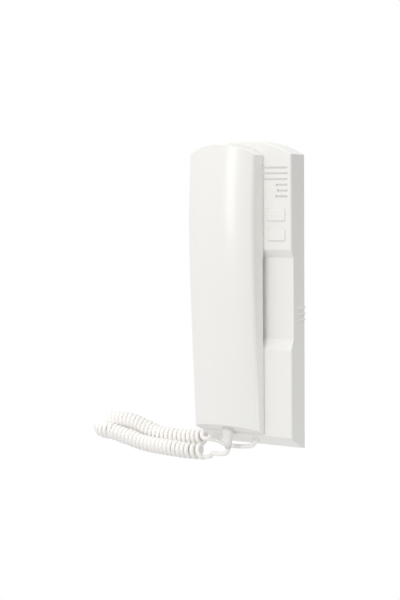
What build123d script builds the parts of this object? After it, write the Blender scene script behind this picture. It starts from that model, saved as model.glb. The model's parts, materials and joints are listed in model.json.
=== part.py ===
from build123d import *
from math import asin, atan, cos, degrees, pi, sin, sqrt, tan
import os

import numpy as np

os.makedirs("parts", exist_ok=True)

# Frame: X runs to the right as seen from the front, Z runs up, the wall is the plane
# Y = 0 and the front faces minus Y. The origin is the centre of the base's back.
# A depth is a distance from the wall. All lengths are in millimetres.

# Clearances
fit_clearance = 0.3
slip_clearance = 0.1
overrun = 5.0

# Sides of small round things that repeat, and of the boot
small_round_sides = 12
boot_sides = 16

# Base cover
base_width = 75.0
base_height = 220.0
base_depth = 19.4
base_arch_radius = 72.5
base_draft = 0.5
base_wall = 2.0
base_edge = 0.8
base_bottom_rise = 9.55
side_strip_width = 22.2

# Finger recess across the base
recess_depth = 3.4
recess_top_margin = 7.4
recess_top_run = 5.6
recess_bottom_margin = 5.5
recess_bottom_run = 7.5

# Sound slots and the bare round place beside them
slot_count = 6
slot_long_count = 3
slot_pitch = 4.0
slot_height = 1.5
slot_drop = 19.3
slot_hidden = 1.7
slot_edge = 3.1
bare_place_edge = 18.5
bare_place_drop = 34.9
bare_place_radius = 7.2

# Grip ribs on the sides of the base
rib_count = 3
rib_pitch = 4.25
rib_top_z = -8.3
rib_width = 1.3
rib_proud = 0.65
rib_length = 10.6

# Buttons
button_edge = 11.9
button_drop = 59.3
button_spacing = 14.0
button_width = 14.1
button_height = 8.4
button_corner = 1.5
button_proud = 1.0
button_travel = 0.8
button_flange = 1.0
button_stem_diameter = 4.0

# Wall plate
plate_thickness = 2.0
wall_hole_diameter = 4.5
wall_hole_top_drop = 48.0
wall_hole_bottom_rise = 32.0
wall_boss_diameter = 9.0
wall_boss_height = 0.8
cable_entry_width = 24.0
cable_entry_height = 14.0
cable_entry_drop = 11.0

# Snap tongues of the wall plate and catches of the cover
catch_depth = 4.0
catch_thickness = 1.2
catch_reach = 0.9
catch_width = 10.0
catch_top_z = 60.0
catch_bottom_z = -62.0
tongue_thickness = 1.4
tongue_width = 8.0

# Circuit board
board_thickness = 1.6
standoff_height = 3.0
standoff_diameter = 6.0
board_side_gap = 3.5
board_top_drop = 64.0
board_bottom_rise = 68.0
board_tab_gap = 2.7
board_tab_drop = 19.0
board_screw_edge = 3.5
board_screw_inset = 5.0
tab_screw_rise = 15.8
board_screw_diameter = 2.0
board_screw_length = 3.6
board_screw_head_diameter = 4.4
board_screw_head_height = 1.5
screw_hole_diameter = 2.4

# Parts on the circuit board
terminal_width = 25.0
terminal_height = 8.0
terminal_depth = 7.0
terminal_side = 6.5
terminal_rise = 8.0
terminal_count = 4
terminal_well_diameter = 3.6
terminal_well_depth = 2.4
terminal_mouth = 3.0
terminal_mouth_depth = 4.0
terminal_screw_diameter = 3.2
terminal_screw_height = 1.6
connector_width = 10.0
connector_height = 7.0
connector_depth = 5.8
connector_wall = 1.2
connector_gap = 5.0
connector_rise = 7.5
sounder_diameter = 20.0
sounder_gap = 0.4
sounder_rim = 1.2
sounder_port_diameter = 3.0
sounder_edge = 14.2
sounder_drop = 29.8
key_switch_size = 6.0
key_switch_depth = 3.5
key_actuator_diameter = 3.4
key_actuator_depth = 1.5
hook_switch_width = 12.8
hook_switch_height = 6.5
hook_actuator_diameter = 3.0
hook_actuator_depth = 0.7
capacitor_diameter = 6.3
capacitor_length = 6.0
capacitor_side = 10.0
capacitor_height_shares = (0.34, 0.5, 0.66)
chip_width = 10.0
chip_height = 6.0
chip_depth = 1.8
chip_side = 15.0

# Hook plunger
plunger_drop = 67.0
plunger_diameter = 7.0
plunger_flange_diameter = 10.0
plunger_flange_thickness = 1.0
plunger_travel = 4.0
plunger_edge = 0.8

# Handset shells
handset_overhang = 0.1
handset_top_drop = 3.0
handset_bottom_rise = 11.1
handset_arch_radius = 50.0
handset_side_depth = 14.8
handset_crest_drop = 62.0
handset_upper_radius = 482.0
handset_lower_radius = 780.0
handset_lower_bend = 45.0
handset_crown = 8.25
handset_corner_radius = 4.0
handset_wall = 2.0
handset_gap = 0.3
underside_slope = 24.5
# Grip zone of the handset, where its back stands clear for the fingers
grip_ear_drop = 46.0
grip_mouth_rise = 36.0
grip_rise = 1.2
grip_run = 4.0

# Ear and mouth cups with their wells in the base
ear_drop = 35.0
ear_cup_margin = 7.4
mouth_rise = 30.9
mouth_cup_margin = 9.9
cup_length = 8.5
cup_wall = 1.8
cup_edge = 1.0
well_clearance = 0.7
well_floor_gap = 0.6
grille_hole_diameter = 2.4
ear_grille_radius = 7.5
mouth_grille_radius = 3.2
grille_count = 4
gasket_thickness = 1.5
gasket_width = 4.9
receiver_depth = 7.5
receiver_shoulder = 6.9
receiver_magnet_depth = 2.5
microphone_diameter = 9.7
microphone_depth = 6.0
holder_wall = 2.1
holder_depth = 6.6
holder_ring_wall = 1.2
holder_lip = 1.0

# Handset screws
handset_screw_edge = 4.0
handset_lower_screw_edge = 8.0
handset_post_diameter = 7.0
handset_boss_diameter = 8.6
handset_boss_height = 2.0
handset_screw_diameter = 2.6
handset_screw_length = 11.0
handset_screw_head_diameter = 5.2
handset_screw_head_height = 1.6
handset_head_recess = 2.0

# Boot on the handset's underside
boot_depth = 25.8
boot_length = 11.1
boot_tip_diameter = 4.25
boot_root_diameter = 5.7
boot_root_rise = 3.9
boot_neck_diameter = 4.6
boot_neck_length = 9.0
boot_flange_diameter = 7.6
boot_flange_rise = 7.0
boot_flange_thickness = 1.5

# Cord and the grommet where it enters the base
cord_diameter = 2.6
cord_entry_x = 2.4
cord_entry_depth = 9.0
grommet_collar_diameter = 5.4
grommet_collar_length = 1.6
grommet_neck_diameter = 4.4
grommet_flange_diameter = 6.4
grommet_flange_thickness = 1.2

# Coil of the cord
coil_diameter = 10.7
coil_turns = 28
coil_end_turns = 0.6
coil_wire_sides = 3
lead_sides = 8
samples_per_arc = 8
spine_steps = 600
turn_step = 0.001
# Pitch along the coil as shares of its mean, at shares of the coil's length
coil_pitch_shares = [
    (0, 1.75), (0.03, 1.12), (0.25, 0.92), (0.42, 0.82), (0.46, 1.5), (0.54, 1.5),
    (0.58, 0.82), (0.75, 0.96), (0.9, 1.08), (0.97, 1.22), (1, 1.75),
]
bend_share = 0.45
base_exit_bend_radius = 2.8
base_exit_corner = 4

# Route of the cord, points chosen by hand
handset_lead_points = [
    (-11.2, -25.8, -110.0), (-11.2, -25.8, -116.4), (-21.0, -22.6, -117.4), (-32.5, -17.2, -117.5),
]
coil_points = [
    (-32.5, -17.2, -117.5), (-38.5, -14.8, -118.0), (-46.0, -12.4, -118.5), (-54.0, -10.3, -118.9),
    (-62.0, -8.7, -119.3), (-70.0, -7.3, -119.6), (-77.0, -6.4, -119.5), (-84.0, -5.9, -119.1),
    (-92.0, -5.8, -118.4), (-98.0, -5.9, -117.3), (-104.0, -6.3, -116.2), (-111.0, -7.3, -114.8),
    (-119.0, -9.2, -113.2), (-126.0, -11.4, -111.9), (-132.0, -13.2, -110.2), (-136.9, -12.6, -105.8),
    (-134.0, -9.4, -101.0), (-127.5, -6.8, -99.2), (-119.5, -5.8, -99.0), (-112.5, -5.7, -99.1),
    (-106.0, -5.7, -99.9), (-99.0, -5.7, -101.6), (-91.5, -5.7, -103.7), (-84.0, -5.7, -105.8),
    (-77.0, -5.7, -107.4), (-70.0, -5.7, -108.1), (-63.0, -5.7, -108.3), (-56.0, -5.8, -108.3),
    (-49.0, -5.9, -108.2), (-43.0, -6.0, -107.8), (-38.5, -6.1, -107.4),
]
base_lead_points = [
    (-38.5, -6.1, -107.4), (-28.0, -7.4, -111.9), (-17.0, -8.6, -112.8), (-7.5, -10.0, -111.8),
    (2.4, -11.03, -109.7), (2.4, -5.69, -98.84), (12.0, -5.2, -88.5), (12.5, -5.4, -68.0),
    (9.5, -9.5, -50.0), (9.5, -9.5, -38.0),
]

# Sizes worked out from those above
base_top = base_height / 2
base_bottom = -base_height / 2
handset_width = base_width - side_strip_width
handset_x = -side_strip_width / 2 - handset_overhang
ear_cup_diameter = handset_width - 2 * ear_cup_margin
mouth_cup_diameter = handset_width - 2 * mouth_cup_margin
handset_top = base_top - handset_top_drop
handset_bottom = base_bottom + handset_bottom_rise
ear_z = handset_top - ear_drop
mouth_z = handset_bottom + mouth_rise
grip_top = ear_z - grip_ear_drop
grip_bottom = mouth_z + grip_mouth_rise
recess_top = grip_top + recess_top_margin
recess_bottom = grip_bottom - recess_bottom_margin
slot_top_z = base_top - slot_drop
slot_left_x = handset_x + handset_width / 2 - slot_hidden
slot_right_x = base_width / 2 - slot_edge
bare_place_x = base_width / 2 - bare_place_edge
bare_place_z = base_top - bare_place_drop
button_x = base_width / 2 - button_edge
button_z = base_top - button_drop
plunger_z = base_top - plunger_drop
board_half_width = base_width / 2 - base_wall - board_side_gap
board_top_z = base_top - board_top_drop
board_bottom_z = base_bottom + board_bottom_rise
board_tab_left_x = handset_x + ear_cup_diameter / 2 + well_clearance + base_wall + board_tab_gap
board_tab_top_z = base_top - board_tab_drop
board_screw_x = board_half_width - board_screw_edge
board_screw_bottom_z = board_bottom_z + board_screw_inset
board_screw_places = [
    (-board_screw_x, board_screw_bottom_z), (board_screw_x, board_screw_bottom_z),
    (-board_screw_x, board_top_z - board_screw_inset), (board_screw_x, button_z + tab_screw_rise),
]
cable_entry_z = board_bottom_z - cable_entry_drop
terminal_x = -board_half_width + terminal_side + terminal_width / 2
terminal_z = board_bottom_z + terminal_rise
connector_x = terminal_x + terminal_width / 2 + connector_gap + connector_width / 2
connector_z = board_bottom_z + connector_rise
sounder_x = base_width / 2 - sounder_edge
sounder_z = base_top - sounder_drop
board_height = board_top_z - board_bottom_z
capacitor_places = [
    (capacitor_side - board_half_width, board_bottom_z + board_height * share)
    for share in capacitor_height_shares
]
handset_screw_top_z = grip_top + grip_run + handset_screw_edge
handset_screw_bottom_z = grip_bottom - grip_run - handset_lower_screw_edge
handset_crest_z = handset_top - handset_crest_drop
boot_tip_z = handset_bottom - boot_length
boot_root_z = handset_bottom + boot_root_rise
boot_flange_z = handset_bottom + boot_flange_rise
side_lean = base_draft / base_depth
bottom_slope = base_bottom_rise / base_depth
recess_floor = base_depth - recess_depth
recess_top_turn = atan(recess_depth / recess_top_run) / 2
recess_bottom_turn = atan(recess_depth / recess_bottom_run) / 2
cover_inner_depth = base_depth - base_wall
plate_inset = base_wall + fit_clearance
wall_hole_places = [(0, base_top - wall_hole_top_drop), (0, base_bottom + wall_hole_bottom_rise)]
board_back = plate_thickness + standoff_height
board_front = board_back + board_thickness
button_places = {"upper": button_z + button_spacing / 2, "lower": button_z - button_spacing / 2}
flange_front = cover_inner_depth - fit_clearance
flange_back = flange_front - button_flange
handset_rim = base_depth + handset_gap
handset_height = handset_top - handset_bottom
underside_rise = tan(underside_slope * pi / 180)
back_front = handset_rim + handset_wall
back_inset = handset_wall + fit_clearance - slip_clearance
cup_end = handset_rim - cup_length
cup_floor = cup_end + cup_wall
well_floor = cup_end - well_floor_gap
cup_diameters = {ear_z: ear_cup_diameter, mouth_z: mouth_cup_diameter}
receiver_diameter = ear_cup_diameter - 2 * cup_wall - 2 * fit_clearance
sounder_depth = cover_inner_depth - sounder_gap - board_front
holder_diameter = microphone_diameter + 2 * holder_wall
plunger_back = cover_inner_depth - fit_clearance - plunger_travel - plunger_flange_thickness
hook_switch_depth = plunger_back - fit_clearance - hook_actuator_depth - board_front
boss_front = back_front + handset_boss_height
helix_radius = (coil_diameter - cord_diameter) / 2
entry_z = base_bottom + bottom_slope * cord_entry_depth
entry_point = Vector(cord_entry_x, -cord_entry_depth, entry_z)
entry_inward = Vector(0, bottom_slope, 1).normalized()


def depth_plane(depth):
    """Plane at a depth from the wall, looked at from the front."""
    return Plane.XZ.offset(depth)


def shifted(inset, turn):
    """How far a corner moves along a face when both its faces move by an inset."""
    return inset * tan(turn)


# Base forms


def base_outline(inset):
    """Front view of the base with its arched top; the bottom runs on to be cut slanting."""
    half = base_width / 2
    radius = base_arch_radius - inset
    centre = base_top - base_arch_radius
    corner = centre + sqrt(radius**2 - half**2)
    with BuildSketch() as outline:
        with BuildLine():
            Polyline(
                (-half, corner), (-half, base_bottom - overrun),
                (half, base_bottom - overrun), (half, corner),
            )
            ThreePointArc((half, corner), (0, centre + radius), (-half, corner))
        make_face()
    return outline.sketch


def recess_profile(inset):
    """Side view of the finger recess, its faces moved back by an inset."""
    floor = recess_floor - inset
    front = base_depth - inset
    up = shifted(inset, recess_top_turn)
    down = shifted(inset, recess_bottom_turn)
    with BuildSketch() as profile:
        with BuildLine():
            Polyline(
                (-front - overrun, recess_top + up), (-front, recess_top + up),
                (-floor, recess_top - recess_top_run + up),
                (-floor, recess_bottom + recess_bottom_run - down),
                (-front, recess_bottom - down), (-front - overrun, recess_bottom - down), close=True,
            )
        make_face()
    return profile.sketch


def base_form(inset, edge=0):
    """The base's outer shape as a solid, with all faces but the back moved in by an inset."""
    outline = base_outline(inset)
    profile = recess_profile(inset)
    cut = Vector(0, 0, base_bottom) + entry_inward * inset
    with BuildPart() as form:
        with BuildSketch(depth_plane(0)):
            add(outline)
        extrude(amount=base_depth - inset)
        split(bisect_by=Plane(origin=cut, z_dir=entry_inward), keep=Keep.TOP)
        for side in (-1, 1):
            inward = Vector(-side, side_lean, 0).normalized()
            place = Vector(side * base_width / 2, 0, 0) + inward * inset
            split(bisect_by=Plane(origin=place, z_dir=inward), keep=Keep.TOP)
        if edge:
            chamfer(form.faces().sort_by(Axis.Y)[0].edges(), edge)
        with BuildSketch(Plane.YZ):
            add(profile)
        extrude(amount=base_width, both=True, mode=Mode.SUBTRACT)
    return form.part


def side_place(depth):
    """Distance of the cover's inner side from the middle at a depth."""
    return base_width / 2 - base_wall - side_lean * depth


# Handset forms


def handset_section(inset):
    """Cross-section of the handset at its crest: long flat sides, round corners and a crown."""
    half = handset_width / 2 - inset
    crown_radius = ((handset_width / 2) ** 2 + handset_crown**2) / (2 * handset_crown)
    centre = handset_rim + handset_side_depth + handset_crown - crown_radius
    shoulder = centre + sqrt((crown_radius - inset) ** 2 - half**2)
    with BuildSketch() as section:
        with BuildLine():
            Polyline((-half, -shoulder), (-half, 0), (half, 0), (half, -shoulder))
            ThreePointArc((half, -shoulder), (0, inset - centre - crown_radius), (-half, -shoulder))
        make_face()
        fillet(section.vertices().group_by(Axis.Y)[0], handset_corner_radius - inset)
    return section.sketch


def handset_arch(inset):
    """Front view of what the handset's arched top leaves, wider than the handset."""
    radius = handset_arch_radius - inset
    centre = handset_top - handset_arch_radius
    with BuildSketch() as arch:
        with Locations((handset_x, centre)):
            Circle(radius)
            Rectangle(2 * radius, handset_height, align=(Align.CENTER, Align.MAX))
    return arch.sketch


def underside_plane(inset):
    """Slanted plane of the handset's underside, its upper side kept."""
    upward = Vector(0, underside_rise, 1).normalized()
    return Plane(origin=Vector(0, -handset_rim, handset_bottom) + upward * inset, z_dir=upward)


def handset_form(inset):
    """The handset's outer shape as a solid, with all faces but the back moved in by an inset.

    The cross-section turns about two far axes above and below the crest, then runs on straight.
    """
    section = handset_section(inset)
    arch = handset_arch(inset)
    side = handset_rim + handset_side_depth
    with BuildSketch(Plane(origin=(handset_x, 0, handset_crest_z))) as crest:
        add(section)
    with BuildPart() as form:
        revolve(
            crest.sketch, Axis((0, handset_upper_radius - side, handset_crest_z), (-1, 0, 0)),
            degrees(asin((handset_crest_drop + handset_crown) / handset_upper_radius)),
        )
        revolve(
            crest.sketch, Axis((0, handset_lower_radius - side, handset_crest_z), (1, 0, 0)),
            degrees(asin(handset_lower_bend / handset_lower_radius)),
        )
        extrude(form.faces().sort_by(Axis.Z)[0], amount=handset_height)
        split(bisect_by=depth_plane(handset_rim), keep=Keep.TOP)
        with BuildSketch(depth_plane(0)):
            add(arch)
        extrude(amount=base_width, mode=Mode.INTERSECT)
        split(bisect_by=underside_plane(inset), keep=Keep.TOP)
    return form.part


def grip_profile(start, end):
    """Side view of the grip zone between two depths outside it, both set forward inside it."""
    with BuildSketch() as profile:
        with BuildLine():
            Polyline(
                (-start, grip_bottom - grip_run), (-start - grip_rise, grip_bottom),
                (-start - grip_rise, grip_top), (-start, grip_top + grip_run),
                (-end, grip_top + grip_run), (-end - grip_rise, grip_top),
                (-end - grip_rise, grip_bottom), (-end, grip_bottom - grip_run), close=True,
            )
        make_face()
    return profile.sketch


# Base cover


def slot_rows():
    """The sound slots, the lower ones starting right of the bare round place."""
    with BuildSketch() as rows:
        for row in range(slot_count):
            z = slot_top_z - row * slot_pitch
            left = slot_left_x
            if row >= slot_long_count:
                left = bare_place_x + sqrt(bare_place_radius**2 - (z - bare_place_z) ** 2)
            with Locations((left, z)):
                Rectangle(slot_right_x - left, slot_height, align=(Align.MIN, Align.CENTER))
    return rows.sketch


def grip_rib(z):
    """Wedge on the right side of the base, proudest at the wall."""
    with BuildPart() as rib:
        with BuildSketch(Plane.XY.offset(z)):
            with BuildLine():
                Polyline(
                    (side_place(0), 0), (base_width / 2 + rib_proud, 0),
                    (side_place(rib_length) + base_wall, -rib_length),
                    (side_place(rib_length), -rib_length), close=True,
                )
            make_face()
        extrude(amount=rib_width / 2, both=True)
    return rib.part


outer = base_form(0, base_edge)
inner = base_form(base_wall)
slots = slot_rows()
ribs = [grip_rib(rib_top_z - k * rib_pitch) for k in range(rib_count)]

with BuildPart() as base_cover:
    add(outer)
    add(inner, mode=Mode.SUBTRACT)
    for z, diameter in cup_diameters.items():
        with BuildSketch(depth_plane(well_floor - base_wall)):
            with Locations((handset_x, z)):
                Circle(diameter / 2 + well_clearance + base_wall)
        extrude(amount=cover_inner_depth + base_wall / 2 - well_floor + base_wall)
        with BuildSketch(depth_plane(well_floor)):
            with Locations((handset_x, z)):
                Circle(diameter / 2 + well_clearance)
        extrude(amount=base_depth, mode=Mode.SUBTRACT)
    for rib in ribs:
        add(rib)
        add(mirror(rib, about=Plane.YZ, mode=Mode.PRIVATE))
    for side in (-1, 1):
        for z in (catch_top_z, catch_bottom_z):
            with Locations((side * side_place(catch_depth), -catch_depth, z)):
                Box(
                    2 * catch_reach, catch_thickness, catch_width,
                    align=(Align.CENTER, Align.MAX, Align.CENTER),
                )
    with BuildSketch(depth_plane(cover_inner_depth - overrun)):
        add(slots)
        for z in button_places.values():
            with Locations((button_x, z)):
                RectangleRounded(
                    button_width + 2 * fit_clearance, button_height + 2 * fit_clearance,
                    button_corner + fit_clearance,
                )
        with Locations((handset_x, plunger_z)):
            Circle(plunger_diameter / 2 + fit_clearance)
    extrude(amount=base_wall + 2 * overrun, mode=Mode.SUBTRACT)
    with BuildSketch(Plane(origin=entry_point, z_dir=entry_inward)):
        Circle(grommet_neck_diameter / 2 + slip_clearance)
    extrude(amount=base_wall * 2, both=True, mode=Mode.SUBTRACT)
base_cover.part.label = "base_cover"
export_step(base_cover.part, "parts/base_cover.step")


# Wall plate

inner = base_form(plate_inset)

with BuildPart() as wall_plate:
    add(inner)
    split(bisect_by=depth_plane(plate_thickness), keep=Keep.BOTTOM)
    with BuildSketch(depth_plane(plate_thickness)):
        with Locations(*board_screw_places):
            RegularPolygon(standoff_diameter / 2, small_round_sides)
    extrude(amount=standoff_height)
    with BuildSketch(depth_plane(plate_thickness)):
        with Locations(*wall_hole_places):
            Circle(wall_boss_diameter / 2)
    extrude(amount=wall_boss_height)
    for side in (-1, 1):
        tongue_face = side_place(catch_depth) - catch_reach - fit_clearance
        tongue_tip = side_place(catch_depth) - fit_clearance
        barb_back = catch_depth + catch_thickness + fit_clearance
        for z in (catch_top_z, catch_bottom_z):
            with BuildSketch(Plane.XY.offset(z)):
                with BuildLine():
                    Polyline(
                        (side * (tongue_face - tongue_thickness), -plate_thickness + slip_clearance),
                        (side * tongue_face, -plate_thickness + slip_clearance),
                        (side * tongue_face, -barb_back), (side * tongue_tip, -barb_back),
                        (side * tongue_face, -barb_back - catch_thickness),
                        (side * (tongue_face - tongue_thickness), -barb_back - catch_thickness), close=True,
                    )
                make_face()
            extrude(amount=tongue_width / 2, both=True)
    with BuildSketch(depth_plane(0)):
        with Locations(*wall_hole_places):
            Circle(wall_hole_diameter / 2)
        with Locations((handset_x, cable_entry_z)):
            Rectangle(cable_entry_width, cable_entry_height)
    extrude(amount=board_back, mode=Mode.SUBTRACT)
    with BuildSketch(depth_plane(board_back)):
        with Locations(*board_screw_places):
            RegularPolygon(board_screw_diameter / 2 + slip_clearance, small_round_sides)
    extrude(amount=-board_screw_length - slip_clearance, mode=Mode.SUBTRACT)
wall_plate.part.label = "wall_plate"
export_step(wall_plate.part, "parts/wall_plate.step")


# Circuit board and what is soldered or screwed to it

with BuildPart() as circuit_board:
    with BuildSketch(depth_plane(board_back)):
        with BuildLine():
            Polyline(
                (-board_half_width, board_bottom_z), (board_half_width, board_bottom_z),
                (board_half_width, board_tab_top_z), (board_tab_left_x, board_tab_top_z),
                (board_tab_left_x, board_top_z), (-board_half_width, board_top_z), close=True,
            )
        make_face()
        with Locations(*board_screw_places):
            RegularPolygon(screw_hole_diameter / 2, small_round_sides, mode=Mode.SUBTRACT)
    extrude(amount=board_thickness)
circuit_board.part.label = "circuit_board"
export_step(circuit_board.part, "parts/circuit_board.step")

with BuildPart() as board_screws:
    with BuildSketch(depth_plane(board_front)):
        with Locations(*board_screw_places):
            RegularPolygon(board_screw_head_diameter / 2, small_round_sides)
    extrude(amount=board_screw_head_height)
    with BuildSketch(depth_plane(board_front)):
        with Locations(*board_screw_places):
            RegularPolygon(board_screw_diameter / 2, small_round_sides)
    extrude(amount=-board_screw_length)
board_screws.part.label = "board_screws"
export_step(board_screws.part, "parts/board_screws.step")

with BuildPart() as board_components:
    with BuildSketch(depth_plane(board_front)):
        with Locations(*capacitor_places):
            RegularPolygon(capacitor_diameter / 2, small_round_sides)
    extrude(amount=capacitor_length)
    with BuildSketch(depth_plane(board_front)):
        with Locations((board_half_width - chip_side, 0)):
            Rectangle(chip_width, chip_height)
    extrude(amount=chip_depth)
board_components.part.label = "board_components"
export_step(board_components.part, "parts/board_components.step")

terminal_pitch = terminal_width / terminal_count
terminal_first_x = terminal_x - (terminal_width - terminal_pitch) / 2
terminal_places = [(terminal_first_x + k * terminal_pitch, terminal_z) for k in range(terminal_count)]

with BuildPart() as terminal_block:
    with BuildSketch(depth_plane(board_front)):
        with Locations((terminal_x, terminal_z)):
            Rectangle(terminal_width, terminal_height)
    extrude(amount=terminal_depth)
    with BuildSketch(depth_plane(board_front + terminal_depth)):
        with Locations(*terminal_places):
            RegularPolygon(terminal_well_diameter / 2, small_round_sides)
    extrude(amount=-terminal_well_depth, mode=Mode.SUBTRACT)
    with BuildSketch(Plane.XY.offset(terminal_z - terminal_height / 2)):
        with Locations(*[(x, -board_front - terminal_mouth) for x, z in terminal_places]):
            Rectangle(terminal_mouth, terminal_mouth)
    extrude(amount=terminal_mouth_depth, mode=Mode.SUBTRACT)
terminal_block.part.label = "terminal_block"
export_step(terminal_block.part, "parts/terminal_block.step")

with BuildPart() as terminal_screws:
    with BuildSketch(depth_plane(board_front + terminal_depth - terminal_well_depth)):
        with Locations(*terminal_places):
            RegularPolygon(terminal_screw_diameter / 2, small_round_sides)
    extrude(amount=terminal_screw_height)
terminal_screws.part.label = "terminal_screws"
export_step(terminal_screws.part, "parts/terminal_screws.step")

with BuildPart() as handset_connector:
    with BuildSketch(depth_plane(board_front)):
        with Locations((connector_x, connector_z)):
            Rectangle(connector_width, connector_height)
    extrude(amount=connector_depth)
    with BuildSketch(Plane.XY.offset(connector_z + connector_height / 2)):
        with Locations((connector_x, -board_front - connector_depth / 2)):
            Rectangle(connector_width - 2 * connector_wall, connector_depth - 2 * connector_wall)
    extrude(amount=-connector_height / 2, mode=Mode.SUBTRACT)
handset_connector.part.label = "handset_connector"
export_step(handset_connector.part, "parts/handset_connector.step")

with BuildPart() as call_sounder:
    with BuildSketch(depth_plane(board_front)):
        with Locations((sounder_x, sounder_z)):
            Circle(sounder_diameter / 2)
    extrude(amount=sounder_depth)
    with BuildSketch(depth_plane(board_front + sounder_depth)):
        with Locations((sounder_x, sounder_z)):
            Circle(sounder_diameter / 2 - sounder_rim)
            Circle(sounder_port_diameter / 2, mode=Mode.SUBTRACT)
    extrude(amount=-sounder_rim / 2, mode=Mode.SUBTRACT)
    with BuildSketch(depth_plane(board_front + sounder_depth)):
        with Locations((sounder_x, sounder_z)):
            Circle(sounder_port_diameter / 2)
    extrude(amount=-sounder_depth / 2, mode=Mode.SUBTRACT)
call_sounder.part.label = "call_sounder"
export_step(call_sounder.part, "parts/call_sounder.step")


def key_switch(z):
    """Small square key switch on the board behind a button."""
    with BuildPart() as switch:
        with BuildSketch(depth_plane(board_front)):
            with Locations((button_x, z)):
                Rectangle(key_switch_size, key_switch_size)
        extrude(amount=key_switch_depth)
        with BuildSketch(depth_plane(board_front + key_switch_depth)):
            with Locations((button_x, z)):
                Circle(key_actuator_diameter / 2)
        extrude(amount=key_actuator_depth)
    return switch.part


def button(z):
    """Button cap with the flange that keeps it behind the window and the stem on its switch."""
    stem_back = board_front + key_switch_depth + key_actuator_depth + button_travel + slip_clearance
    with BuildPart() as cap:
        with BuildSketch(depth_plane(flange_back)):
            with Locations((button_x, z)):
                RectangleRounded(button_width, button_height, button_corner)
        extrude(amount=base_depth + button_proud - flange_back)
        front = cap.faces().sort_by(Axis.Y)[0]
        chamfer(front.edges(), button_proud / 2)
        with BuildSketch(depth_plane(flange_back)):
            with Locations((button_x, z)):
                Rectangle(button_width + 2 * button_flange, button_height + 2 * button_flange)
        extrude(amount=button_flange)
        with BuildSketch(depth_plane(flange_back)):
            with Locations((button_x, z)):
                Circle(button_stem_diameter / 2)
        extrude(amount=stem_back - flange_back)
    return cap.part


upper_cap, lower_cap = button(button_places["upper"]), button(button_places["lower"])
upper_key, lower_key = key_switch(button_places["upper"]), key_switch(button_places["lower"])

with BuildPart() as upper_button:
    add(upper_cap)
upper_button.part.label = "upper_button"
export_step(upper_button.part, "parts/upper_button.step")

with BuildPart() as lower_button:
    add(lower_cap)
lower_button.part.label = "lower_button"
export_step(lower_button.part, "parts/lower_button.step")

with BuildPart() as upper_key_switch:
    add(upper_key)
upper_key_switch.part.label = "upper_key_switch"
export_step(upper_key_switch.part, "parts/upper_key_switch.step")

with BuildPart() as lower_key_switch:
    add(lower_key)
lower_key_switch.part.label = "lower_key_switch"
export_step(lower_key_switch.part, "parts/lower_key_switch.step")

with BuildPart() as hook_switch:
    with BuildSketch(depth_plane(board_front)):
        with Locations((handset_x, plunger_z)):
            Rectangle(hook_switch_width, hook_switch_height)
    extrude(amount=hook_switch_depth)
    with BuildSketch(depth_plane(board_front + hook_switch_depth)):
        with Locations((handset_x, plunger_z)):
            Circle(hook_actuator_diameter / 2)
    extrude(amount=hook_actuator_depth)
hook_switch.part.label = "hook_switch"
export_step(hook_switch.part, "parts/hook_switch.step")

with BuildPart() as hook_plunger:
    with BuildSketch(Plane(origin=(handset_x, 0, plunger_z), x_dir=(1, 0, 0), z_dir=(0, 0, 1))):
        with BuildLine():
            Polyline(
                (0, -plunger_back), (plunger_flange_diameter / 2, -plunger_back),
                (plunger_flange_diameter / 2, -plunger_back - plunger_flange_thickness),
                (plunger_diameter / 2, -plunger_back - plunger_flange_thickness),
                (plunger_diameter / 2, plunger_edge - base_depth),
                (plunger_diameter / 2 - plunger_edge, -base_depth), (0, -base_depth), close=True,
            )
        make_face()
    revolve(axis=Axis((handset_x, 0, plunger_z), (0, 1, 0)))
hook_plunger.part.label = "hook_plunger"
export_step(hook_plunger.part, "parts/hook_plunger.step")


# Handset shells

outer = handset_form(0)
inner = handset_form(handset_wall)
grip_cut = grip_profile(handset_rim - overrun, handset_rim)
post_places = [(handset_x, handset_screw_top_z), (handset_x, handset_screw_bottom_z)]

with BuildPart() as posts:
    with BuildSketch(depth_plane(boss_front + slip_clearance)):
        with Locations(*post_places):
            RegularPolygon(handset_post_diameter / 2, small_round_sides)
    extrude(amount=base_width)
    add(outer, mode=Mode.INTERSECT)

with BuildPart() as handset_front_shell:
    add(outer)
    add(inner, mode=Mode.SUBTRACT)
    add(posts.part)
    with BuildSketch(Plane.YZ.offset(handset_x)):
        add(grip_cut)
    extrude(amount=handset_width, both=True, mode=Mode.SUBTRACT)
    with BuildSketch(depth_plane(boss_front)):
        with Locations(*post_places):
            RegularPolygon(handset_screw_diameter / 2 + slip_clearance, small_round_sides)
    extrude(amount=handset_screw_length, mode=Mode.SUBTRACT)
    with BuildSketch(Plane.XY.offset(boot_tip_z)):
        with Locations((handset_x, -boot_depth)):
            Circle(boot_neck_diameter / 2 + slip_clearance)
    extrude(amount=boot_flange_z - boot_tip_z, mode=Mode.SUBTRACT)
handset_front_shell.part.label = "handset_front_shell"
export_step(handset_front_shell.part, "parts/handset_front_shell.step")

strip = grip_profile(handset_rim, back_front)
arch = handset_arch(back_inset)

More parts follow.
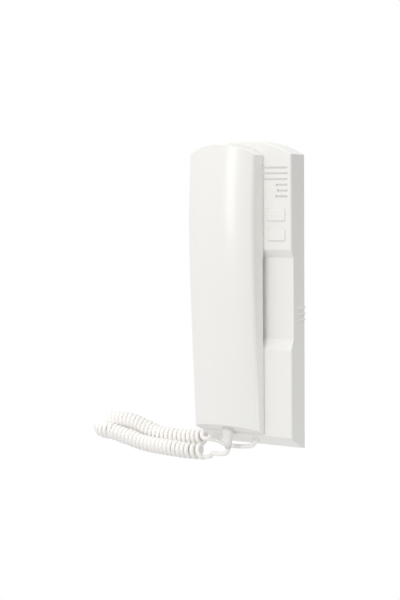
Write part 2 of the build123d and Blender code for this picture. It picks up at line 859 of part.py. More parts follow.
with BuildPart() as handset_back_shell:
    with BuildSketch(Plane.YZ.offset(handset_x)):
        with Locations((-(handset_rim + back_front) / 2, 0)):
            Rectangle(handset_wall, 2 * handset_height)
    extrude(amount=handset_width / 2 - back_inset, both=True)
    with BuildSketch(Plane.YZ.offset(handset_x)):
        add(grip_cut)
    extrude(amount=handset_width, both=True, mode=Mode.SUBTRACT)
    with BuildSketch(Plane.YZ.offset(handset_x)):
        add(strip)
    extrude(amount=handset_width / 2 - back_inset, both=True)
    with BuildSketch(depth_plane(0)):
        add(arch)
    extrude(amount=base_width, mode=Mode.INTERSECT)
    split(bisect_by=underside_plane(back_inset), keep=Keep.TOP)
    for z, diameter in cup_diameters.items():
        with BuildSketch(depth_plane(cup_end)):
            with Locations((handset_x, z)):
                Circle(diameter / 2)
        extrude(amount=back_front - cup_end)
    rims = handset_back_shell.faces().filter_by(Axis.Y).group_by(Axis.Y)[-1].edges()
    chamfer(rims, cup_edge)
    for z, diameter in cup_diameters.items():
        with BuildSketch(depth_plane(cup_floor)):
            with Locations((handset_x, z)):
                Circle(diameter / 2 - cup_wall)
        extrude(amount=base_depth, mode=Mode.SUBTRACT)
    with BuildSketch(depth_plane(cup_floor)):
        with Locations((handset_x, mouth_z)):
            Circle(holder_diameter / 2 + slip_clearance + holder_ring_wall)
            Circle(holder_diameter / 2 + slip_clearance, mode=Mode.SUBTRACT)
    extrude(amount=microphone_depth)
    with BuildSketch(depth_plane(cup_end)):
        for z, radius in ((ear_z, ear_grille_radius), (mouth_z, mouth_grille_radius)):
            with Locations((handset_x, z)):
                RegularPolygon(grille_hole_diameter / 2, small_round_sides)
                with PolarLocations(radius, grille_count):
                    RegularPolygon(grille_hole_diameter / 2, small_round_sides)
    extrude(amount=cup_wall, mode=Mode.SUBTRACT)
    with BuildSketch(depth_plane(back_front)):
        with Locations(*post_places):
            RegularPolygon(handset_boss_diameter / 2, small_round_sides)
    extrude(amount=handset_boss_height)
    with BuildSketch(depth_plane(handset_rim)):
        with Locations(*post_places):
            RegularPolygon(handset_screw_head_diameter / 2 + fit_clearance, small_round_sides)
    extrude(amount=handset_head_recess, mode=Mode.SUBTRACT)
    with BuildSketch(depth_plane(handset_rim)):
        with Locations(*post_places):
            RegularPolygon(handset_screw_diameter / 2 + slip_clearance, small_round_sides)
    extrude(amount=boss_front, mode=Mode.SUBTRACT)
handset_back_shell.part.label = "handset_back_shell"
export_step(handset_back_shell.part, "parts/handset_back_shell.step")

with BuildPart() as handset_screws:
    with BuildSketch(depth_plane(handset_rim + handset_head_recess)):
        with Locations(*post_places):
            RegularPolygon(handset_screw_head_diameter / 2, small_round_sides)
    extrude(amount=-handset_screw_head_height)
    with BuildSketch(depth_plane(handset_rim + handset_head_recess)):
        with Locations(*post_places):
            RegularPolygon(handset_screw_diameter / 2, small_round_sides)
    extrude(amount=handset_screw_length)
handset_screws.part.label = "handset_screws"
export_step(handset_screws.part, "parts/handset_screws.step")


# Receiver and microphone

with BuildPart() as receiver_gasket:
    with BuildSketch(depth_plane(cup_floor)):
        with Locations((handset_x, ear_z)):
            Circle(receiver_diameter / 2)
            Circle(receiver_diameter / 2 - gasket_width, mode=Mode.SUBTRACT)
    extrude(amount=gasket_thickness)
receiver_gasket.part.label = "receiver_gasket"
export_step(receiver_gasket.part, "parts/receiver_gasket.step")

with BuildPart() as receiver_capsule:
    with BuildSketch(depth_plane(cup_floor + gasket_thickness)):
        with Locations((handset_x, ear_z)):
            Circle(receiver_diameter / 2)
    extrude(amount=receiver_depth)
    with BuildSketch(depth_plane(cup_floor + gasket_thickness + receiver_depth)):
        with Locations((handset_x, ear_z)):
            Circle(receiver_diameter / 2 - receiver_shoulder)
    extrude(amount=receiver_magnet_depth)
receiver_capsule.part.label = "receiver_capsule"
export_step(receiver_capsule.part, "parts/receiver_capsule.step")

with BuildPart() as microphone_holder:
    with BuildSketch(depth_plane(cup_floor)):
        with Locations((handset_x, mouth_z)):
            Circle(holder_diameter / 2)
    extrude(amount=holder_depth)
    with BuildSketch(depth_plane(cup_floor)):
        with Locations((handset_x, mouth_z)):
            Circle(microphone_diameter / 2 - holder_lip / 2)
    extrude(amount=holder_depth, mode=Mode.SUBTRACT)
    with BuildSketch(depth_plane(cup_floor + holder_lip)):
        with Locations((handset_x, mouth_z)):
            Circle(microphone_diameter / 2)
    extrude(amount=holder_depth, mode=Mode.SUBTRACT)
microphone_holder.part.label = "microphone_holder"
export_step(microphone_holder.part, "parts/microphone_holder.step")

with BuildPart() as microphone:
    with BuildSketch(depth_plane(cup_floor + holder_lip)):
        with Locations((handset_x, mouth_z)):
            Circle(microphone_diameter / 2)
    extrude(amount=microphone_depth)
microphone.part.label = "microphone"
export_step(microphone.part, "parts/microphone.step")


# Boot and grommet

with BuildPart() as handset_boot:
    for z, diameter in ((boot_tip_z, boot_tip_diameter), (boot_root_z, boot_root_diameter)):
        with BuildSketch(Plane(origin=(handset_x, -boot_depth, z))):
            RegularPolygon(diameter / 2, boot_sides)
    loft(ruled=True)
    split(bisect_by=underside_plane(0), keep=Keep.BOTTOM)
    with Locations((handset_x, -boot_depth, boot_flange_z)):
        Cylinder(boot_neck_diameter / 2, boot_neck_length, align=(Align.CENTER, Align.CENTER, Align.MAX))
        Cylinder(
            boot_flange_diameter / 2, boot_flange_thickness,
            align=(Align.CENTER, Align.CENTER, Align.MIN),
        )
handset_boot.part.label = "handset_boot"
export_step(handset_boot.part, "parts/handset_boot.step")

with BuildPart() as base_grommet:
    with BuildSketch(Plane(origin=entry_point, z_dir=entry_inward)):
        Circle(grommet_collar_diameter / 2)
    extrude(amount=-grommet_collar_length)
    with BuildSketch(Plane(origin=entry_point, z_dir=entry_inward)):
        Circle(grommet_neck_diameter / 2)
    extrude(amount=base_wall)
    with BuildSketch(Plane(origin=entry_point + entry_inward * base_wall, z_dir=entry_inward)):
        Circle(grommet_flange_diameter / 2)
    extrude(amount=grommet_flange_thickness)
    with BuildSketch(Plane(origin=entry_point, z_dir=entry_inward)):
        Circle(cord_diameter / 2 + slip_clearance)
    extrude(amount=overrun, both=True, mode=Mode.SUBTRACT)
base_grommet.part.label = "base_grommet"
export_step(base_grommet.part, "parts/base_grommet.step")


# Curly cord: lead, coil and lead


def turn_between(start, corner, end):
    """Angle by which a route turns at a corner."""
    before, after = Vector(*corner) - Vector(*start), Vector(*end) - Vector(*corner)
    return before.get_angle(after) * pi / 180


def bend_radii(points, exit_corner=None):
    """Radius at each corner, from the shorter run beside it and the turn that it makes."""
    radii = []
    for k in range(1, len(points) - 1):
        runs = (Vector(*points[k]) - Vector(*points[j]) for j in (k - 1, k + 1))
        shorter = min(run.length for run in runs)
        radii.append(bend_share * shorter / tan(turn_between(*points[k - 1:k + 2]) / 2))
        if k == exit_corner:
            radii[-1] = min(radii[-1], base_exit_bend_radius)
    return radii


def direction(start, end):
    """Unit vector from one point to another."""
    return (Vector(*end) - Vector(*start)).normalized()


coil_start_direction = direction(*handset_lead_points[-2:])
coil_end_direction = direction(*base_lead_points[:2])
spine = Edge.make_spline(
    [Vector(*point) for point in coil_points], tangents=[coil_start_direction, coil_end_direction]
)
spine_shares = np.linspace(0, 1, spine_steps + 1)
spine_places = np.array([tuple(spine @ share) for share in spine_shares])
steps = np.linalg.norm(np.diff(spine_places, axis=0), axis=1)
length_shares = np.concatenate([[0], np.cumsum(steps)]) / steps.sum()
rates = 1 / np.interp(length_shares, *zip(*coil_pitch_shares))
turn_table = np.concatenate([[0], np.cumsum((rates[1:] + rates[:-1]) * np.diff(length_shares))])
turn_table *= coil_turns / turn_table[-1]


def smooth(share):
    """Gentle rise from nothing to one."""
    share = min(max(share, 0), 1)
    return share**2 * (3 - 2 * share)


def wire_place(turn):
    """Centre of the coiled wire after some turns of the helix round the spine."""
    share = float(np.interp(turn, turn_table, spine_shares))
    along = spine % share
    side = (Vector(0, 1, 0) - along * along.Y).normalized()
    from_end = min(turn, coil_turns - turn)
    radius = helix_radius * smooth(from_end / coil_end_turns)
    angle = 2 * pi * turn
    return spine @ share + (side * cos(angle) + along.cross(side) * sin(angle)) * radius


def wire_direction(turn):
    """Direction of the coiled wire after some turns."""
    before, after = max(turn - turn_step, 0), min(turn + turn_step, coil_turns)
    return (wire_place(after) - wire_place(before)).normalized()


def arc_joint(start, start_way, end, end_way):
    """Point and direction at which two arcs of one biarc meet."""
    across, ways = end - start, start_way + end_way
    spread = 2 * (1 - start_way.dot(end_way))
    reach = (-across.dot(ways) + sqrt(across.dot(ways) ** 2 + spread * across.dot(across))) / spread
    first, second = start + start_way * reach, end - end_way * reach
    return (first + second) / 2, (second - first).normalized()


turns = [half / 2 for half in range(2 * coil_turns + 1)]
places = [wire_place(turn) for turn in turns]
ways = [wire_direction(turn) for turn in turns]
ways[0], ways[-1] = coil_start_direction, coil_end_direction
lead_end = places[0] - ways[0] * cord_diameter
lead_start = places[-1] + ways[-1] * cord_diameter

with BuildLine() as coil_path:
    Line(lead_end, places[0])
    for start, end, start_way, end_way in zip(places, places[1:], ways, ways[1:]):
        middle, middle_way = arc_joint(start, start_way, end, end_way)
        TangentArc(start, middle, tangent=start_way)
        TangentArc(middle, end, tangent=middle_way)
    Line(places[-1], lead_start)

handset_route = handset_lead_points[:-1] + [tuple(lead_end)]
base_route = [tuple(lead_start)] + base_lead_points[1:]
handset_radii = bend_radii(handset_route)
base_radii = bend_radii(base_route, base_exit_corner)

with BuildLine() as handset_lead:
    FilletPolyline(*handset_route, radius=handset_radii)

with BuildLine() as base_lead:
    FilletPolyline(*base_route, radius=base_radii)

handset_lead_plane = Plane(origin=handset_route[0], z_dir=direction(*handset_route[:2]))

with BuildSketch(handset_lead_plane) as handset_lead_section:
    RegularPolygon(cord_diameter / 2, lead_sides)

with BuildSketch(Plane(origin=lead_end, z_dir=ways[0])) as coil_section:
    RegularPolygon(cord_diameter / 2, coil_wire_sides)

with BuildSketch(Plane(origin=lead_start, z_dir=ways[-1])) as base_lead_section:
    RegularPolygon(cord_diameter / 2, lead_sides)

with BuildPart() as curly_cord:
    sweep(coil_section.sketch, path=coil_path.wire())
    sweep(handset_lead_section.sketch, path=handset_lead.wire())
    sweep(base_lead_section.sketch, path=base_lead.wire())
curly_cord.part.label = "curly_cord"
export_step(curly_cord.part, "parts/curly_cord.step")

coil_length = sum(edge.length for edge in coil_path.edges())
lead_length = sum(edge.length for lead in (handset_lead, base_lead) for edge in lead.edges())
section_areas = coil_section.sketch.area, handset_lead_section.sketch.area
expected = coil_length * section_areas[0] + lead_length * section_areas[1]
print(f"cord: coil {coil_length:.1f} mm in {coil_turns} turns, leads {lead_length:.1f} mm")
print(f"cord: volume {curly_cord.part.volume:.1f} mm3, section times length {expected:.1f} mm3")
print("bend radii in mm:", [round(radius, 1) for radius in handset_radii + base_radii])


# Least gap of the coil to itself, measured on points along the wire

sample_shares = np.arange(samples_per_arc) / samples_per_arc
samples = np.array([tuple(edge @ share) for edge in coil_path.edges() for share in sample_shares])
along = np.concatenate([[0], np.cumsum(np.linalg.norm(np.diff(samples, axis=0), axis=1))])
distances = np.linalg.norm(samples[:, None] - samples[None, :], axis=2)
apart = np.abs(along[:, None] - along[None, :]) > coil_diameter
closest = np.where(apart, distances, np.inf)
row, column = np.unravel_index(closest.argmin(), closest.shape)
print(f"cord: least gap of the coil to itself {closest[row, column] - cord_diameter:.2f} mm")
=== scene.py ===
"""Audio intercom handset: the photograph's camera, light and finishes, the cord and small trim."""
import json
import math

import bmesh
import bpy
from mathutils import Matrix, Vector

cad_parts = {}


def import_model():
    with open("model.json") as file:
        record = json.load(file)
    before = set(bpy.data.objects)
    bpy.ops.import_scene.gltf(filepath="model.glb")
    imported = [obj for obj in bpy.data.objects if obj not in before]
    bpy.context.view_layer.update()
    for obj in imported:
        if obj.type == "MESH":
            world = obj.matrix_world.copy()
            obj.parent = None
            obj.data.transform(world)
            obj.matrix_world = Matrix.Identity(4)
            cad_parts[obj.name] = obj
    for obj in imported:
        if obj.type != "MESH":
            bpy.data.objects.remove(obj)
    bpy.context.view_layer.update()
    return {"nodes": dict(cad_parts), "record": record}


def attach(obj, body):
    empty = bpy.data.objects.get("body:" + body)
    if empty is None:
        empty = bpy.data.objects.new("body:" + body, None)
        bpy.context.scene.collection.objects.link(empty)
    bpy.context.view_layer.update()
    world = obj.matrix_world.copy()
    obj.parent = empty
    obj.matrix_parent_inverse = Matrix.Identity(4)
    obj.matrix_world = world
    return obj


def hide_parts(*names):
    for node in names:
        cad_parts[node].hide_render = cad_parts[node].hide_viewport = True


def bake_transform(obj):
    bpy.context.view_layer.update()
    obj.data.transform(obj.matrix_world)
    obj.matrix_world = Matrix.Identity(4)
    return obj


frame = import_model()
MM = 0.001

# Camera, fitted to the photograph: turned to the right, looking a little down, slightly rolled
CAMERA_PLACE = (0.47645, -0.86794, 0.08371)
CAMERA_TURN = math.radians(31.206)
CAMERA_DOWN = math.radians(5.078)
CAMERA_ROLL = math.radians(0.526)
LENS = 82.15
SENSOR = 36.0
CLIP_NEAR, CLIP_FAR = 0.01, 20

# Floor, as far below the object as it is below a handset on a wall. The camera, gloss and glass
# see it white; the light that it sends up is that of a darker one.
FLOOR_Z = -1.4
FLOOR_HALF = 1.2
FLOOR_SEEN = 0.97
FLOOR_LIGHT = 0.7

# World's light: its strength, and what is left of it on the dim side
DIM_SIDE = (0.75, 0.66, 0)
WORLD_LIGHT = 0.8
WORLD_DIM = 0.15
DIM_FROM, DIM_TO = 0.0, 0.95
# What comes on top above and below, between these heights of the direction
WORLD_ABOVE = 0.9
ABOVE_FROM, ABOVE_TO = 0.25, 0.9
WORLD_BELOW = 0.1
BELOW_FROM, BELOW_TO = -0.25, -0.8

# Lamps: place, target, size and power. The first makes the streak on the handset.
LAMPS = {
    "strip": ((0.006, -1.3, 0.475), (0.006, 0.0, 0.475), (0.34, 0.95), 4.5),
    "low_side": ((0.4, 0.02, -0.2), (0.03, 0.0, -0.09), (0.15, 0.1), 0.22),
}
# Lamp inside the base, which is seen through the slots
SLOTS_LAMP = ((0.024, -0.0172, 0.0802), (0.024, -0.1, 0.0802), (0.024, 0.024), 0.00115)
SLOTS_LAMP_COLOUR = (1, 0.98, 0.94)

# Finish of each material slot of the record
FINISHES = {
    "housing": {
        "colour": (0.905, 0.897, 0.865), "roughness": 0.3, "mottle": 0.012, "grain": 0.04,
        "coat": 0.2,
    },
    "housing_inside": {"colour": (0.85, 0.85, 0.84), "roughness": 0.5, "grain": 0.1},
    "board": {
        "colour": (0.03, 0.16, 0.06), "roughness": 0.4, "mottle": 0.2, "mottle_scale": 200,
    },
    "screw_steel": {
        "colour": (0.55, 0.55, 0.53), "roughness": 0.3, "metallic": 1.0, "grain": 0.1,
    },
    "dark_plastic": {
        "colour": (0.02, 0.02, 0.022), "roughness": 0.45, "mottle": 0.2, "grain": 0.15,
    },
    "terminal_plastic": {
        "colour": (0.05, 0.1, 0.25), "roughness": 0.45, "mottle": 0.1, "grain": 0.1,
    },
    "capsule_metal": {
        "colour": (0.7, 0.7, 0.7), "roughness": 0.3, "metallic": 1.0, "grain": 0.1,
    },
    "dark_rubber": {
        "colour": (0.02, 0.02, 0.02), "roughness": 0.7, "mottle": 0.2, "grain": 0.3,
    },
    "white_rubber": {
        "colour": (0.905, 0.895, 0.87), "roughness": 0.45, "mottle": 0.02, "grain": 0.12,
    },
    "cord_jacket": {
        "colour": (0.985, 0.963, 0.937), "roughness": 0.33, "mottle": 0.01, "grain": 0.08,
    },
}
COAT_ROUGHNESS = 0.12
GLOSS_SPREAD = 0.08
MOTTLE_DETAIL = 4.0
GRAIN_SCALE = 900.0
GRAIN_DETAIL = 2.0
GRAIN_DEPTH = 0.0002

# Cord, in millimetres. The route follows that of the CAD model, and its points are moved
# to fit the photograph: a lead from the boot, the coil's two strands and a lead into the base.
CORD_DIAMETER = 3.3
COIL_DIAMETER = 12.4
HANDSET_LEAD = [
    (-11.2, -25.8, -110.0), (-11.2, -25.8, -113.8), (-20.1, -23.6, -115.8), (-28.6, -19.2, -116.2),
]
COIL_ROUTE = [
    (-34.6, -16.6, -116.2), (-41.3, -16.3, -116.9), (-48.7, -16.1, -117.2), (-56.5, -16.0, -117.1),
    (-63.3, -16.3, -116.7), (-70.6, -16.0, -116.5), (-77.9, -15.8, -116.2), (-85.2, -15.6, -115.8),
    (-92.4, -15.6, -114.9), (-99.7, -15.6, -113.2), (-107.0, -15.6, -111.5),
    (-114.3, -15.7, -109.8), (-119.0, -15.9, -108.7), (-124.0, -16.3, -108.5),
    (-129.6, -14.8, -108.2), (-132.8, -11.4, -106.7),
    (-133.6, -8.0, -104.7), (-130.3, -6.5, -103.2), (-125.0, -6.4, -102.0), (-119.0, -6.4, -101.2),
    (-112.1, -6.4, -100.9), (-104.7, -6.4, -102.0), (-97.9, -6.4, -104.0), (-92.0, -6.4, -106.3),
    (-86.6, -6.4, -108.3), (-81.1, -6.4, -109.4), (-74.8, -6.4, -109.7), (-67.7, -6.4, -109.8),
    (-60.6, -6.4, -109.9), (-53.0, -6.4, -109.4), (-45.4, -6.4, -108.6), (-38.6, -6.6, -107.9),
]
BASE_LEAD = [
    (-32.0, -7.2, -108.8), (-24.0, -8.6, -111.4), (-15.1, -9.6, -111.8), (-6.6, -10.6, -111.0),
    (2.4, -11.03, -109.7), (2.4, -5.69, -98.84), (12.0, -5.2, -88.5), (12.5, -5.4, -68.0),
    (9.5, -9.5, -50.0), (9.5, -9.5, -38.0),
]
ROUTE_RESOLUTION = 24

# Coil's winding, and the share of its length with the pitch there against the mean pitch
COIL_TURNS = 53.32
COIL_START_ANGLE = math.radians(65)
COIL_PITCH = [
    (0, 60), (0.005, 27), (0.011, 11.7), (0.016, 4.9), (0.019, 1.5), (0.06, 1.4), (0.09, 1.05),
    (0.2, 0.95), (0.45, 0.93), (0.72, 0.93), (0.8, 1.03), (0.95, 1.08), (0.981, 1.3), (0.984, 4.9),
    (0.989, 11.7), (0.995, 27), (1, 60),
]
WINDING_STEPS = 20000
# Points on the wire: so many in a turn, none further apart along the route than the longest step
TURN_STEPS = 20
LONGEST_STEP = 0.0004
LEAST_STEP = 0.0005
# Length of each lead over which it moves from the coil's axis out to its rim
RIM_RUN = 0.009
TUBE_SIDES = 14

# Boot's taper, rings of height and diameter from its tip up; the last follows the underside's slope
BOOT_X, BOOT_Y = -11.2, -25.8
BOOT_RINGS = [(-110.0, 4.7), (-104.5, 6.3), (-98.6, 7.7), (-95.9, 8.6)]
BOOT_SIDES = 32
BOOT_SLOPE = math.tan(math.radians(24.5))

# Skirt round each key, as loops of growth past the key's outline and depth
KEY_X = 25.6
KEYS = {"upper_key": 57.7, "lower_key": 43.7}
KEY_HALF_WIDTH, KEY_HALF_HEIGHT = 7.05, 4.2
KEY_CORNER = 1.5
KEY_CORNER_STEPS = 6
SKIRT_LOOPS = [(-0.1, -19.42), (0.26, -19.39), (0.26, -18.8), (-0.1, -18.8)]

# Grip ribs on the sides of the base, each with a sharp ridge
BASE_HALF = 37.5
RIB_COUNT = 3
RIB_PITCH = 4.25
RIB_TOP_Z = -8.3
RIB_WIDTH = 1.3
RIB_PROUD = 0.65
RIB_LENGTH = 10.4
RIB_FRONT_LEAN = 0.25
RIDGE = 0.55


def add(name, data):
    """Object with this data, put in the scene."""
    thing = bpy.data.objects.new(name, data)
    bpy.context.scene.collection.objects.link(thing)
    return thing


def camera():
    """Camera with the fitted place, turn, dip and roll."""
    turn, down, roll = CAMERA_TURN, CAMERA_DOWN, CAMERA_ROLL
    right = Vector((math.cos(turn), math.sin(turn), 0))
    forward = Vector((
        -math.sin(turn) * math.cos(down), math.cos(turn) * math.cos(down), -math.sin(down),
    ))
    up = right.cross(forward)
    data = bpy.data.cameras.new("camera")
    data.lens, data.sensor_width, data.sensor_fit = LENS, SENSOR, "AUTO"
    data.clip_start, data.clip_end = CLIP_NEAR, CLIP_FAR
    thing = add("camera", data)
    across = right * math.cos(roll) - up * math.sin(roll)
    upward = right * math.sin(roll) + up * math.cos(roll)
    thing.rotation_mode = "QUATERNION"
    axes = [[across[i], upward[i], -forward[i]] for i in range(3)]
    thing.rotation_quaternion = Matrix(axes).to_quaternion()
    thing.location = CAMERA_PLACE
    bpy.context.scene.camera = thing


def node(tree, kind, **values):
    """Shader node with its inputs and properties set."""
    made = tree.nodes.new(kind)
    for name, value in values.items():
        if name in made.inputs:
            made.inputs[name].default_value = value
        else:
            setattr(made, name, value)
    return made


def combine(tree, operation, first, second):
    """Result of a math operation on two values."""
    made = node(tree, "ShaderNodeMath", operation=operation)
    tree.links.new(first, made.inputs[0])
    tree.links.new(second, made.inputs[1])
    return made.outputs["Value"]


def ramp(tree, source, start, end, low, high):
    """Value that goes from low to high while the source goes from start to end."""
    made = node(tree, "ShaderNodeMapRange", clamp=True)
    for name, value in (("From Min", start), ("From Max", end), ("To Min", low), ("To Max", high)):
        made.inputs[name].default_value = value
    tree.links.new(source, made.inputs["Value"])
    return made.outputs["Result"]


def material(
    name, colour, roughness, metallic=0.0, mottle=0.02, mottle_scale=40.0, grain=0.02, coat=0.0,
):
    """Procedural finish: slight colour and gloss variation and a fine surface grain."""
    made = bpy.data.materials.new(name)
    made.use_nodes = True
    tree = made.node_tree
    shader = tree.nodes["Principled BSDF"]
    shader.inputs["Metallic"].default_value = metallic
    shader.inputs["Coat Weight"].default_value = coat
    shader.inputs["Coat Roughness"].default_value = COAT_ROUGHNESS
    place = node(tree, "ShaderNodeTexCoord").outputs["Object"]
    clouds = node(tree, "ShaderNodeTexNoise", Scale=mottle_scale, Detail=MOTTLE_DETAIL)
    tree.links.new(place, clouds.inputs["Vector"])
    blend = node(tree, "ShaderNodeMix", data_type="RGBA")
    tree.links.new(clouds.outputs["Fac"], blend.inputs["Factor"])
    for socket in blend.inputs:
        if socket.type == "RGBA":
            shade = 1 - mottle * (socket.name == "A")
            socket.default_value = (*[c * shade for c in colour], 1)
    colour_out = next(out for out in blend.outputs if out.type == "RGBA")
    tree.links.new(colour_out, shader.inputs["Base Color"])
    gloss = ramp(
        tree, clouds.outputs["Fac"], 0, 1,
        roughness * (1 - GLOSS_SPREAD), roughness * (1 + GLOSS_SPREAD),
    )
    tree.links.new(gloss, shader.inputs["Roughness"])
    fine = node(tree, "ShaderNodeTexNoise", Scale=GRAIN_SCALE, Detail=GRAIN_DETAIL)
    tree.links.new(place, fine.inputs["Vector"])
    bump = node(tree, "ShaderNodeBump", Strength=grain, Distance=GRAIN_DEPTH)
    tree.links.new(fine.outputs["Fac"], bump.inputs["Height"])
    tree.links.new(bump.outputs["Normal"], shader.inputs["Normal"])
    return made


def route_points():
    """Dense points along the cord's route, read from its NURBS spline."""
    points = HANDSET_LEAD + COIL_ROUTE + BASE_LEAD
    data = bpy.data.curves.new("cord_route", "CURVE")
    data.dimensions = "3D"
    data.resolution_u = ROUTE_RESOLUTION
    spline = data.splines.new("NURBS")
    spline.points.add(len(points) - 1)
    for target, point in zip(spline.points, points):
        target.co = (*[c * MM for c in point], 1)
    spline.order_u = 3
    spline.use_endpoint_u = True
    thing = add("cord_route", data)
    mesh = bpy.data.meshes.new_from_object(thing)
    places = [v.co.copy() for v in mesh.vertices]
    bpy.data.objects.remove(thing)
    bpy.data.meshes.remove(mesh)
    return places


def at_share(table, share):
    """Value between the entries of a table of (share, value)."""
    for (low, a), (high, b) in zip(table, table[1:]):
        if share <= high:
            return a + (b - a) * (share - low) / (high - low)
    return table[-1][1]


def smooth(share):
    """Gentle rise from nothing to one."""
    share = min(max(share, 0), 1)
    return share * share * (3 - 2 * share)


def along_line(places):
    """Distance from the start at each point of a line."""
    far = [0.0]
    for a, b in zip(places, places[1:]):
        far.append(far[-1] + (b - a).length)
    return far


def walk(places, far, distance):
    """Point and direction on a line at a distance from its start."""
    low, high = 0, len(far) - 1
    while high - low > 1:
        middle = (low + high) // 2
        low, high = (middle, high) if far[middle] <= distance else (low, middle)
    share = (distance - far[low]) / (far[high] - far[low])
    return places[low].lerp(places[high], share), (places[high] - places[low]).normalized()


def off_axis(places, far, distance, angle, share=1):
    """Point beside the route, at a distance along it, an angle and a share of the coil's radius."""
    place, along = walk(places, far, distance)
    side = (Vector((0, 1, 0)) - along * along.y).normalized()
    radius = (COIL_DIAMETER - CORD_DIAMETER) / 2 * MM * share
    return place + (side * math.cos(angle) + along.cross(side) * math.sin(angle)) * radius


def cord_line():
    """Centre line of the whole cord: a lead, the helix wound round the route, a lead."""
    places = route_points()
    far = along_line(places)
    first, last = Vector(COIL_ROUTE[0]) * MM, Vector(COIL_ROUTE[-1]) * MM
    start = far[min(range(len(places)), key=lambda k: (places[k] - first).length)]
    end = far[min(range(len(places)), key=lambda k: (places[k] - last).length)]
    # Turns wound by each small share of the coil's length, more where the pitch is less
    turns = [0.0]
    for k in range(WINDING_STEPS):
        turns.append(turns[-1] + 1 / at_share(COIL_PITCH, (k + 0.5) / WINDING_STEPS))
    scale = COIL_TURNS / turns[-1]
    line = []
    for distance in far:
        if distance < start - LEAST_STEP:
            rise = smooth(1 - (start - distance) / RIM_RUN)
            line.append(off_axis(places, far, distance, COIL_START_ANGLE, rise))
    last_k = 0
    for k in range(WINDING_STEPS + 1):
        wound = (turns[k] - turns[last_k]) * scale
        gone = (k - last_k) / WINDING_STEPS * (end - start)
        if k in (0, WINDING_STEPS) or wound >= 1 / TURN_STEPS or gone >= LONGEST_STEP:
            angle = COIL_START_ANGLE + 2 * math.pi * turns[k] * scale
            distance = start + (end - start) * k / WINDING_STEPS
            line.append(off_axis(places, far, distance, angle))
            last_k = k
    end_angle = COIL_START_ANGLE + 2 * math.pi * COIL_TURNS
    for distance in far:
        if distance > end + LEAST_STEP:
            rise = smooth(1 - (distance - end) / RIM_RUN)
            line.append(off_axis(places, far, distance, end_angle, rise))
    return line


def tube(name, line, radius, sides):
    """Closed tube along a line, its rings carried on from one to the next without twist."""
    mesh = bmesh.new()
    across = None
    rings = []
    for k, place in enumerate(line):
        along = (line[min(k + 1, len(line) - 1)] - line[max(k - 1, 0)]).normalized()
        if across is None:
            across = along.orthogonal().normalized()
        across = (across - along * across.dot(along)).normalized()
        other = along.cross(across)
        rings.append([
            mesh.verts.new(place + (across * math.cos(a) + other * math.sin(a)) * radius)
            for a in (2 * math.pi * s / sides for s in range(sides))
        ])
    for near, far in zip(rings, rings[1:]):
        for s in range(sides):
            after = (s + 1) % sides
            mesh.faces.new((near[s], near[after], far[after], far[s])).smooth = True
    mesh.faces.new(list(reversed(rings[0])))
    mesh.faces.new(rings[-1])
    data = bpy.data.meshes.new(name)
    mesh.to_mesh(data)
    mesh.free()
    return add(name, data)


def curly_cord(finish):
    """The whole cord, which stretches between the base and the handset."""
    line = cord_line()
    piece = tube("cord", line, CORD_DIAMETER / 2 * MM, TUBE_SIDES)
    piece.data.materials.append(finish)
    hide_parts("curly_cord")
    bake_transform(piece)


def solid(name, places, faces, finish, body):
    """Closed mesh, given in millimetres, all its faces turned outwards, on a body."""
    data = bpy.data.meshes.new(name)
    data.from_pydata([tuple(c * MM for c in place) for place in places], [], faces)
    shape = bmesh.new()
    shape.from_mesh(data)
    bmesh.ops.recalc_face_normals(shape, faces=shape.faces)
    shape.to_mesh(data)
    shape.free()
    data.materials.append(finish)
    thing = add(name, data)
    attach(thing, body)
    return thing


def band(near, far, count):
    """Faces between two loops of so many points, from the first point of each."""
    return [
        (near + k, near + (k + 1) % count, far + (k + 1) % count, far + k) for k in range(count)
    ]


def boot_sleeve(finish):
    """Moulded taper round the boot, wider at the handset."""
    places, faces = [], []
    for z, diameter in BOOT_RINGS:
        for k in range(BOOT_SIDES):
            angle = 2 * math.pi * k / BOOT_SIDES
            x, y = diameter / 2 * math.cos(angle), diameter / 2 * math.sin(angle)
            lift = -BOOT_SLOPE * y if z == BOOT_RINGS[-1][0] else 0
            places.append((BOOT_X + x, BOOT_Y + y, z + lift))
    for ring in range(len(BOOT_RINGS) - 1):
        faces += band(ring * BOOT_SIDES, (ring + 1) * BOOT_SIDES, BOOT_SIDES)
    faces.append(tuple(reversed(range(BOOT_SIDES))))
    faces.append(tuple(range(len(places) - BOOT_SIDES, len(places))))
    sleeve = solid("boot_sleeve", places, faces, finish, "handset")
    for face in sleeve.data.polygons[:-2]:
        face.use_smooth = True


def key_skirts(finish):
    """Narrow skirt round each key, which rides with it and fills most of the gap to the cover."""
    corners = ((1, 1), (-1, 1), (-1, -1), (1, -1))
    ring = len(corners) * (KEY_CORNER_STEPS + 1)
    for body, middle in KEYS.items():
        places, faces = [], []
        for growth, y in SKIRT_LOOPS:
            radius = KEY_CORNER + growth
            for corner, (across, up) in enumerate(corners):
                x = KEY_X + across * (KEY_HALF_WIDTH - KEY_CORNER)
                z = middle + up * (KEY_HALF_HEIGHT - KEY_CORNER)
                for k in range(KEY_CORNER_STEPS + 1):
                    angle = math.pi / 2 * (corner + k / KEY_CORNER_STEPS)
                    places.append((x + radius * math.cos(angle), y, z + radius * math.sin(angle)))
        for loop in range(len(SKIRT_LOOPS)):
            faces += band(loop * ring, (loop + 1) % len(SKIRT_LOOPS) * ring, ring)
        solid(f"{body}_skirt", places, faces, finish, body)


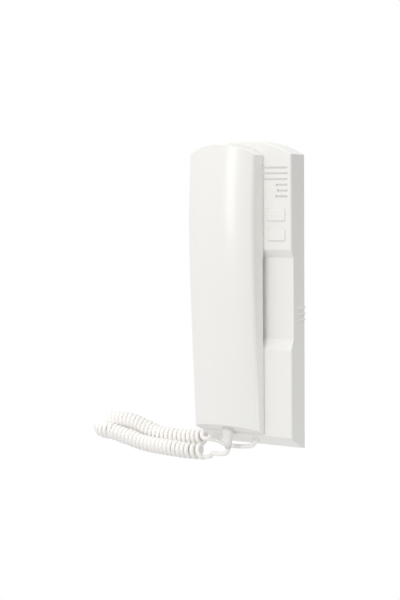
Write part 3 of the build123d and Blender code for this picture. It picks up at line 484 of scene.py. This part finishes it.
def rib_ridges(finish):
    """Sharp ridge along each grip rib on the sides of the base."""
    faces = [(0, 1, 2), (5, 4, 3), (0, 3, 4, 1), (1, 4, 5, 2), (2, 5, 3, 0)]
    for side, word in ((-1, "left"), (1, "1")):
        for k in range(RIB_COUNT):
            z = RIB_TOP_Z - k * RIB_PITCH
            back, front = side * (BASE_HALF + RIB_PROUD), side * (BASE_HALF - RIB_FRONT_LEAN)
            low, high = z - RIB_WIDTH / 2, z + RIB_WIDTH / 2
            places = [
                (back, 0, low), (back, 0, high), (back + side * RIDGE, 0, z),
                (front, -RIB_LENGTH, low), (front, -RIB_LENGTH, high),
                (front + side * RIDGE, -RIB_LENGTH, z),
            ]
            solid(f"rib_ridge_{word}_{k}", places, faces, finish, "base")


def seen_directly(tree):
    """One for rays that see the background white: the camera's, by gloss or through glass."""
    path = node(tree, "ShaderNodeLightPath").outputs
    clear = combine(tree, "MAXIMUM", path["Is Camera Ray"], path["Is Transmission Ray"])
    return combine(tree, "MAXIMUM", clear, path["Is Glossy Ray"])


def world():
    """White surroundings for the camera, and light that falls off to the right, behind."""
    made = bpy.data.worlds.new("surroundings")
    bpy.context.scene.world = made
    made.use_nodes = True
    tree = made.node_tree
    tree.nodes.clear()
    out = node(tree, "ShaderNodeOutputWorld")
    seen = node(tree, "ShaderNodeBackground", Color=(1, 1, 1, 1), Strength=1.0)
    light = node(tree, "ShaderNodeBackground")
    mix = node(tree, "ShaderNodeMixShader")
    direction = node(tree, "ShaderNodeTexCoord").outputs["Generated"]
    parts = node(tree, "ShaderNodeSeparateXYZ")
    tree.links.new(direction, parts.inputs["Vector"])
    toward = node(tree, "ShaderNodeVectorMath", operation="DOT_PRODUCT")
    toward.inputs[1].default_value = DIM_SIDE
    tree.links.new(direction, toward.inputs[0])
    height = parts.outputs["Z"]
    around = ramp(tree, toward.outputs["Value"], DIM_FROM, DIM_TO, WORLD_LIGHT, WORLD_DIM)
    above = ramp(tree, height, ABOVE_FROM, ABOVE_TO, 0.0, WORLD_ABOVE)
    below = ramp(tree, height, BELOW_FROM, BELOW_TO, 0.0, WORLD_BELOW)
    strength = combine(tree, "ADD", combine(tree, "ADD", around, above), below)
    tree.links.new(strength, light.inputs["Strength"])
    tree.links.new(seen_directly(tree), mix.inputs["Fac"])
    tree.links.new(light.outputs["Background"], mix.inputs[1])
    tree.links.new(seen.outputs["Background"], mix.inputs[2])
    tree.links.new(mix.outputs["Shader"], out.inputs["Surface"])


def lamp(name, place, target, size, power, colour=(1, 1, 1)):
    """Rectangular soft light that faces a target."""
    data = bpy.data.lights.new(name, "AREA")
    data.shape, data.size, data.size_y = "RECTANGLE", *size
    data.energy, data.color = power, colour
    thing = add(name, data)
    thing.location = place
    thing.rotation_mode = "QUATERNION"
    thing.rotation_quaternion = (Vector(target) - Vector(place)).to_track_quat("-Z", "Y")
    return thing


def floor():
    """Plain pale floor, which is no part of the object."""
    made = bpy.data.materials.new("floor")
    made.use_nodes = True
    tree = made.node_tree
    shade = ramp(tree, seen_directly(tree), 0, 1, FLOOR_LIGHT, FLOOR_SEEN)
    tree.links.new(shade, tree.nodes["Principled BSDF"].inputs["Base Color"])
    data = bpy.data.meshes.new("floor")
    corners = [(-1, -1), (1, -1), (1, 1), (-1, 1)]
    places = [(x * FLOOR_HALF, y * FLOOR_HALF, FLOOR_Z) for x, y in corners]
    data.from_pydata(places, [], [(0, 1, 2, 3)])
    data.materials.append(made)
    add("floor", data)


camera()
world()
floor()
finishes = {name: material(name, **look) for name, look in FINISHES.items()}
slots = {part["node"]: part["material_slot"] for part in frame["record"]["subparts"]}
for name, thing in frame["nodes"].items():
    for slot in thing.material_slots:
        slot.material = finishes[slots[name]]
curly_cord(finishes["cord_jacket"])
boot_sleeve(finishes["white_rubber"])
key_skirts(finishes["housing"])
rib_ridges(finishes["housing"])
for name, values in LAMPS.items():
    lamp(name, *values)
lamp("behind_slots", *SLOTS_LAMP, SLOTS_LAMP_COLOUR).visible_camera = True
bpy.context.scene.view_settings.view_transform = "Standard"
